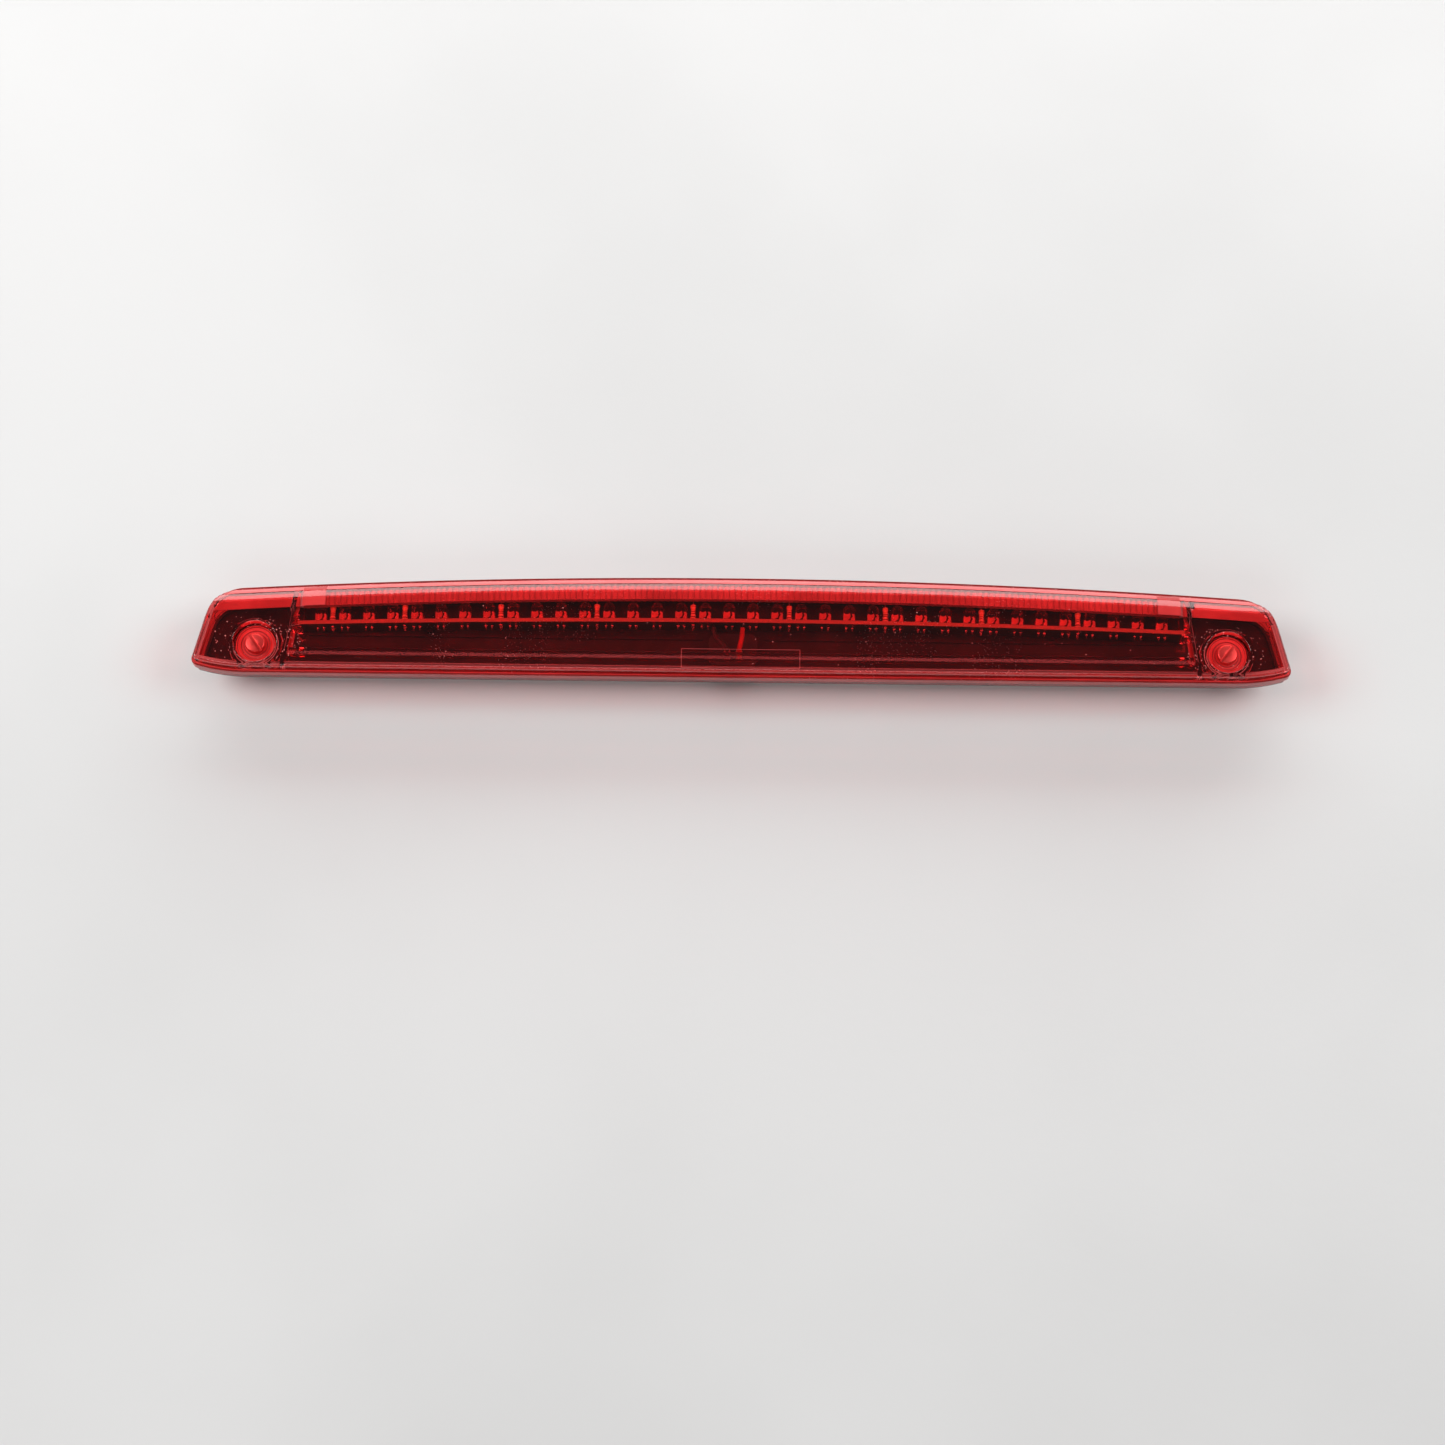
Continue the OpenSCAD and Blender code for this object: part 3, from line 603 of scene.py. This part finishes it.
def layer_from_lens(name, wanted, away, thick, used):
    """Copies the lens's wanted faces, moves them away along their normals and makes them a thin plate."""
    bm = merged_copy("outer_lens")
    for x in BOARD_END:
        for side in (-1, 1):
            whole = bm.verts[:] + bm.edges[:] + bm.faces[:]
            bmesh.ops.bisect_plane(bm, geom=whole, plane_co=(side * x, 0, 0), plane_no=(1, 0, 0))
    bm.normal_update()
    bmesh.ops.delete(bm, geom=[f for f in bm.faces if not wanted(f)], context="FACES")
    bm.normal_update()
    for vert in bm.verts:
        vert.co += vert.normal * away
    bmesh.ops.solidify(bm, geom=bm.faces[:], thickness=thick)
    bmesh.ops.recalc_face_normals(bm, faces=bm.faces)
    finished_piece(name, bm, [used], sharp=40)


def near_board_ends(face):
    place, normal = face.calc_center_median(), face.normal
    rounded = place.y > shoulder_front(place.x) and normal.z > 0.1 and normal.y > 0.04
    return rounded and place.z > SHOULDER_Z and BOARD_END[0] < abs(place.x) < BOARD_END[1]


def under_end_shoulder(face):
    place, normal = face.calc_center_median(), face.normal
    behind = place.y > shoulder_front(place.x) and place.z > SHOULDER_Z
    return behind and abs(place.x) > CHAMBER_HALF and normal.z < -0.15 and normal.y < -0.04


def on_front_flange(face):
    place = face.calc_center_median()
    level = all(FLANGE[0] < v.co.z < FLANGE[1] for v in face.verts)
    outward = face.normal.x * place.x + face.normal.y * (place.y - 5 * MM) > 0
    return level and outward and abs(face.normal.z) < 0.2 and place.y < 5 * MM


def on_rear_wall(face):
    place = face.calc_center_median()
    return place.y > 14 * MM and place.z > CORE_BOTTOM and face.normal.y > 0.62


layer_from_lens("board_end_layer", near_board_ends, -0.8 * MM, 0.3 * MM, deep_satin)
layer_from_lens("end_shoulder_layer", under_end_shoulder, 0.5 * MM, 0.3 * MM, satin_red)
layer_from_lens("flange_frosting", on_front_flange, -0.75 * MM, 0.4 * MM, deep_satin)
layer_from_lens("rear_wall_core", on_rear_wall, -1.1 * MM, 0.3 * MM, pale_core)

# %% [markdown]
# ## Weld beads of the chamber walls
# Where the lens's inner walls and screw bosses end, melted acrylic leaves a thin rounded bead, and the sunken
# marking pad has a fine raised outline. Seen from above these glow as fine lines. Each straight one is a slim
# cylinder, and each ring round a screw well is a small circle spun round the screw.

# %% Weld beads
WALL_LEAN = radians(8)
WELL_RINGS = ((9.4 * MM, 9.4 * MM), (11.15 * MM, 7.2 * MM))
RING_THICK = 0.2 * MM


def lay_bead(bm, start, end, radius):
    rod = bmesh.new()
    run = Vector(end) - Vector(start)
    bmesh.ops.create_cone(rod, cap_ends=True, segments=10, radius1=radius, radius2=radius, depth=run.length)
    turn = Vector((0, 0, 1)).rotation_difference(run).to_matrix()
    bmesh.ops.rotate(rod, verts=rod.verts, cent=(0, 0, 0), matrix=turn)
    add_copy(bm, rod, (Vector(start) + Vector(end)) / 2)
    rod.free()


def make_beads():
    bm = bmesh.new()
    wall_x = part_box("circuit_board")[1].x + 3.1 * MM
    for side in (-1, 1):
        for offset in (-1.35 * MM, 1.35 * MM):
            ends = []
            for y in (-2 * MM, 22.5 * MM):
                x = wall_x + offset - (y - 8.8 * MM) * sin(WALL_LEAN)
                ends.append((side * x, y, LENS_LOW.z + 5.0 * MM))
            lay_bead(bm, ends[0], ends[1], 0.4 * MM)
    for axis in SCREWS.values():
        for radius, height in WELL_RINGS:
            section = [(radius + RING_THICK * cos(a), height + RING_THICK * sin(a))
                       for a in (0, 1.26, 2.51, 3.77, 5.03)]
            ring = spun(section, 72)
            add_copy(bm, ring, (axis.x, axis.y, 0))
            ring.free()
    finished_piece("wall_beads", bm, [satin_red], sharp=50)


def make_marking_outline():
    bm = bmesh.new()
    left, right, front, rear = -24.5 * MM, 24.5 * MM, LENS_LOW.y + 2.5 * MM, LENS_LOW.y + 10.7 * MM
    level = LENS_HIGH.z - 0.17 * MM
    for start, end in (((left, front), (right, front)), ((left, rear), (right, rear)),
                       ((left, front), (left, rear)), ((right, front), (right, rear))):
        lay_bead(bm, (*start, level), (*end, level), 0.07 * MM)
    finished_piece("marking_outline", bm, [marking_ink])


make_beads()
make_marking_outline()

# %% [markdown]
# ## Lead frames inside the LEDs
# Through the epoxy of an LED two metal posts show: a broad anvil that holds the chip in a cup, and a slim
# post beside it. They are stamped from sheet, so each is a flat outline, extruded to the sheet's thickness.

# %% LED lead frames
ANVIL = [(-2.0, 0.8), (-1.55, 0.8), (-1.5, 1.9), (-1.1, 1.9), (-1.05, 0.8), (-0.4, 0.8), (-0.2, 1.8),
         (0.35, 2.3), (0.5, 3.7), (0.3, 4.7), (-0.2, 4.2), (-0.85, 4.2), (-1.4, 4.8), (-1.95, 3.9),
         (-2.05, 2.4)]
POST = [(0.75, 0.8), (1.9, 0.8), (2.0, 2.6), (1.85, 4.1), (1.3, 4.5), (0.85, 4.2), (1.2, 3.4), (0.8, 2.4),
        (0.6, 1.6)]
SHEET = 0.7 * MM


def stamped(outline):
    """A flat outline, in millimetres, extruded to the sheet's thickness."""
    bm = bmesh.new()
    face = bm.faces.new([bm.verts.new((x * MM, y * MM, -SHEET / 2)) for x, y in outline])
    raised = bmesh.ops.extrude_face_region(bm, geom=[face])
    top = [item for item in raised["geom"] if isinstance(item, bmesh.types.BMVert)]
    bmesh.ops.translate(bm, verts=top, vec=(0, 0, SHEET))
    bmesh.ops.recalc_face_normals(bm, faces=bm.faces)
    return bm


def make_lead_frames():
    anvil, post = stamped(ANVIL), stamped(POST)
    bm = bmesh.new()
    for low, high in LEDS:
        x, z = (low.x + high.x) / 2, (low.z + high.z) / 2
        turn = (BOARD_FACE(x + MM) - BOARD_FACE(x - MM)) / (2 * MM)
        for part in (anvil, post):
            add_copy(bm, part, (x, low.y, z), turn)
    anvil.free()
    post.free()
    finished_piece("led_lead_frames", bm, [lead_frame_silver])


make_lead_frames()

# %% [markdown]
# ## Solder fillets
# Molten solder climbs a wire and cools as a hollow-sided cone. A plain cone would be simpler, but the hollow
# side is what catches a thin line of light, so each joint is a curved profile spun round.

# %% Solder fillets
def make_solder():
    bm = bmesh.new()
    for low, high in islands("solder_joints"):
        radius, height = (high.x - low.x) / 2, high.y - low.y
        profile = [(0, 0), (radius, 0), (0.72 * radius, 0.16 * height), (0.5 * radius, 0.45 * height),
                   (0.42 * radius, 0.85 * height), (0.3 * radius, height), (0, 1.04 * height)]
        fillet = spun(profile, 10, (0, -1, 0))
        add_copy(bm, fillet, ((low.x + high.x) / 2, high.y, (low.z + high.z) / 2))
        fillet.free()
    finished_piece("solder_fillets", bm, [bright_solder], ["solder_joints"])


make_solder()

# %% [markdown]
# ## Banded resistors
# A resistor's caps are fatter than its waist, and its colour bands are rings of paint. Rings could be laid
# over the body as extra shapes, but paint has no thickness to see. So each body is one profile spun round its
# own length, and the faces of a band take another material.

# %% Resistors
def make_resistors():
    bm = bmesh.new()
    for low, high in islands("resistor_bodies"):
        cap, length = (high.x - low.x) / 2, high.y - low.y
        waist = 0.8 * cap
        stations = [(0, 0), (0.55, 0), (0.92, 0.03), (1, 0.09), (1, 0.17), (0.9, 0.24)]
        lower = [(r * cap, h * length) for r, h in stations]
        waists = [(waist, h * length) for h in (0.28, 0.34, 0.4, 0.47, 0.53, 0.6, 0.66, 0.72)]
        upper = [(r, length - h) for r, h in reversed(lower)]
        body = spun(lower + waists + upper, 20, (0, 1, 0))
        for face in body.faces:
            share = face.calc_center_median().y / length
            if 0.09 < share < 0.17 or 0.34 < share < 0.4 or 0.47 < share < 0.53:
                face.material_index = 1
            elif 0.6 < share < 0.66 or 0.83 < share < 0.91:
                face.material_index = 2
        add_copy(bm, body, ((low.x + high.x) / 2, low.y, (low.z + high.z) / 2))
        body.free()
    finished_piece("banded_resistors", bm, [resistor_coat, band_brown, band_gold], ["resistor_bodies"])


make_resistors()

# %% [markdown]
# ## Wires
# Two insulated wires rise from the connector's cups and bend over to the board. Each is a curve with two
# Bezier points whose handles set how it leaves and arrives, and its bevel gives the insulation's thickness.

# %% Wires
def make_wire(name, node, finish_used, start_x, end_x):
    low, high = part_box(node)
    radius = 1.0 * MM
    start = Vector((start_x, low.y + radius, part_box("connector_blades")[1].z))
    led_middle = (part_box("led_bodies")[0].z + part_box("led_bodies")[1].z) / 2
    end = Vector((end_x, high.y, led_middle + 1.4 * MM))
    curve = bpy.data.curves.new(name, "CURVE")
    curve.dimensions, curve.resolution_u = "3D", 24
    curve.bevel_depth, curve.bevel_resolution, curve.use_fill_caps = radius, 4, True
    spline = curve.splines.new("BEZIER")
    spline.bezier_points.add(1)
    ends = ((start, Vector((0, 0, 4.5 * MM))), (end, Vector((0, 5.5 * MM, 0))))
    for point, (place, heading) in zip(spline.bezier_points, ends):
        point.co = place
        point.handle_left_type = point.handle_right_type = "FREE"
        point.handle_left, point.handle_right = place - heading, place + heading
    curve.materials.append(finish_used)
    wire = bpy.data.objects.new(name, curve)
    scene.collection.objects.link(wire)
    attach(wire, LAMP)
    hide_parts(node)
    print(name, "from", [round(v / MM, 1) for v in start], "to", [round(v / MM, 1) for v in end])


feed_low, feed_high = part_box("feed_wire")
ground_low, ground_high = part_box("ground_wire")
make_wire("red_feed_wire", "feed_wire", red_pvc, feed_low.x + MM, feed_high.x - MM)
make_wire("black_ground_wire", "ground_wire", black_pvc, ground_high.x - MM, ground_low.x + MM)

# %% [markdown]
# ## Screws
# A slotted screw is a domed head with a sawn slot, a plain neck, and a thread. The thread is one ridge that
# climbs the core: a small triangle spun with a rise at each step, which is what a screw-cutting lathe does.
# The slot is cut with a block, and a bevel softens what the cut left.

# %% Screws
SLOT_ANGLE = {"left": radians(-55), "right": radians(52)}
THREAD_PITCH = 1.6 * MM
HEAD_HEIGHT = 3.0 * MM
SLOT_WIDTH, SLOT_DEPTH = 1.25 * MM, 1.3 * MM


def add_thread(bm, radius, low, high, steps_per_turn=24):
    turns = (high - low) / THREAD_PITCH
    steps = int(turns * steps_per_turn)
    core = 0.84 * radius
    ridge = [(core, low), (radius, low + 0.36 * THREAD_PITCH), (core, low + 0.72 * THREAD_PITCH)]
    verts = [bm.verts.new((r, 0, z)) for r, z in ridge]
    face = bm.faces.new(verts)
    bmesh.ops.spin(bm, geom=[face] + verts + list(face.edges), cent=(0, 0, 0), axis=(0, 0, 1),
                   dvec=(0, 0, THREAD_PITCH / steps_per_turn), angle=2 * pi * steps / steps_per_turn,
                   steps=steps)


def cut_with(piece, cutter_bm):
    mesh = bpy.data.meshes.new("cutter")
    cutter_bm.to_mesh(mesh)
    cutter_bm.free()
    cutter = bpy.data.objects.new("cutter", mesh)
    scene.collection.objects.link(cutter)
    boolean = piece.modifiers.new("cut", "BOOLEAN")
    boolean.operation, boolean.object, boolean.solver = "DIFFERENCE", cutter, "EXACT"
    applied = bpy.data.meshes.new_from_object(piece.evaluated_get(bpy.context.evaluated_depsgraph_get()))
    piece.modifiers.clear()
    piece.data = applied
    bpy.data.objects.remove(cutter)


def make_screw(side):
    node = side + "_screw"
    low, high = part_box(node)
    axis = SCREWS[side]
    head, shank, seat = (high.x - low.x) / 2, 2.02 * MM, high.z - HEAD_HEIGHT
    edge = 0.8 * MM
    dome = [(head - edge + edge * cos(radians(a)), HEAD_HEIGHT - 0.2 * MM - edge + edge * sin(radians(a)))
            for a in (0, 22, 45, 67, 90)] + [(0.45 * head, HEAD_HEIGHT - 0.05 * MM)]
    tip = low.z + 1.5 * MM
    profile = [(0, low.z), (1.1 * MM, low.z), (shank, tip), (shank, seat), (0.93 * head, seat)]
    profile += [(head, seat + 0.15 * HEAD_HEIGHT)] + [(r, seat + h) for r, h in dome] + [(0, high.z)]
    bm = spun(profile, 64)
    threads = bmesh.new()
    add_thread(threads, 2.4 * MM, tip - 0.3 * MM, 0.4 * MM)
    bmesh.ops.recalc_face_normals(threads, faces=threads.faces)
    bmesh.ops.translate(bm, verts=bm.verts, vec=(axis.x, axis.y, 0))
    screw = finished_piece(side + "_slotted_screw", bm, [lacquered_head], [node], body=side + "_screw_body")
    block = bmesh.new()
    bmesh.ops.create_cube(block, size=1)
    bmesh.ops.scale(block, vec=(4 * head, SLOT_WIDTH, 2 * SLOT_DEPTH), verts=block.verts)
    across = Matrix.Rotation(SLOT_ANGLE[side], 3, "Z")
    bmesh.ops.rotate(block, verts=block.verts, cent=(0, 0, 0), matrix=across)
    bmesh.ops.translate(block, verts=block.verts, vec=(axis.x, axis.y, high.z))
    cut_with(screw, block)
    soften = screw.modifiers.new("soften", "BEVEL")
    soften.width, soften.segments = 0.09 * MM, 2
    soften.limit_method, soften.angle_limit = "ANGLE", radians(40)
    bmesh.ops.translate(threads, verts=threads.verts, vec=(axis.x, axis.y, 0))
    finished_piece(side + "_screw_thread", threads, [lacquered_steel], body=side + "_screw_body",
                   sharp=25)


# Radii of the washer's sloping groove walls that take the painted shade.
PAINTED_SHADE_WALLS = ((7.55 * MM, 7.85 * MM), (5.8 * MM, 6.15 * MM), (4.7 * MM, 5.0 * MM))


def make_washer(side):
    node = side + "_washer"
    low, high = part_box(node)
    outer, inner, thick = (high.x - low.x) / 2, 2.6 * MM, high.z - low.z
    ring = [(inner, 0.1 * thick), (inner + 0.1 * MM, 0), (outer - 0.2 * MM, 0), (outer, 0.2 * thick),
            (outer, 0.8 * thick), (outer - 0.2 * MM, thick), (7.85 * MM, thick), (7.55 * MM, 0.6 * thick),
            (6.75 * MM, 0.6 * thick), (6.4 * MM, thick), (6.15 * MM, thick), (5.8 * MM, 0.7 * thick),
            (5.0 * MM, 0.7 * thick), (4.7 * MM, thick), (inner + 0.1 * MM, thick), (inner, 0.9 * thick)]
    bm = spun(ring, 72)
    # Upward-facing groove walls get the darker colour as painted shade.
    for face in bm.faces:
        radius = face.calc_center_median().xy.length
        if face.normal.z > 0.2 and any(near < radius < far for near, far in PAINTED_SHADE_WALLS):
            face.material_index = 1
    bmesh.ops.translate(bm, verts=bm.verts, vec=(SCREWS[side].x, SCREWS[side].y, low.z))
    finished_piece(side + "_dished_washer", bm, [lacquered_steel, lacquer_groove], [node],
                   body=side + "_washer_body")


for each_side in SCREWS:
    make_screw(each_side)
    make_washer(each_side)

# %% [markdown]
# ## Dust
# Grit gathers in the corners of the lens, most of all round the two screw wells. Each grain is a tiny faceted
# ball half sunk in the surface. They are placed by a seeded random number, so every run gives the same dust.

# %% Dust
def make_dust():
    shuffle = random.Random(11)
    grain = bmesh.new()
    bmesh.ops.create_icosphere(grain, subdivisions=1, radius=1)
    bm = bmesh.new()
    spots = []
    for axis in SCREWS.values():
        for _ in range(100):
            angle, out = shuffle.uniform(0, 2 * pi), shuffle.uniform(10, 19) * MM
            spots.append((axis.x + out * cos(angle), axis.y + 0.6 * out * sin(angle)))
    for _ in range(60):
        spots.append((shuffle.uniform(-0.2, 0.2), shuffle.uniform(-8, 18) * MM))
    for x, y in spots:
        if not -8 * MM < y < shoulder_front(x) or abs(x) > LENS_HIGH.x - 9 * MM:
            continue
        size = shuffle.uniform(0.08, 0.24) * MM
        one = grain.copy()
        bmesh.ops.scale(one, vec=(size, size * shuffle.uniform(0.6, 1.6), 0.4 * size), verts=one.verts)
        add_copy(bm, one, (x, y, LENS_HIGH.z), shuffle.uniform(0, pi))
        one.free()
    grain.free()
    finished_piece("lens_dust", bm, [dust_grit])


make_dust()

# %% [markdown]
# ## Finishes for the parts whose solids are already right
# These keep their CAD shape and only need a material.

# %% Carried-over nodes
KEPT = {
    "base_housing": black_plastic, "lens_sealant": black_sealant, "seat_gasket": black_foam,
    "circuit_board": board_laminate, "led_bodies": led_epoxy, "led_legs": tinned_metal,
    "resistor_leads": tinned_metal, "connector_shell": nylon_black, "connector_blades": tinned_brass,
    "connector_seal": orange_silicone, "vent_membrane": vent_felt, "compression_sleeves": zinc_steel,
    "screw_seals": seal_rubber,
}
for node_name, material_used in KEPT.items():
    mesh_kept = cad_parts[node_name].data
    mesh_kept.materials.clear()
    mesh_kept.materials.append(material_used)
print("kept nodes:", len(KEPT))
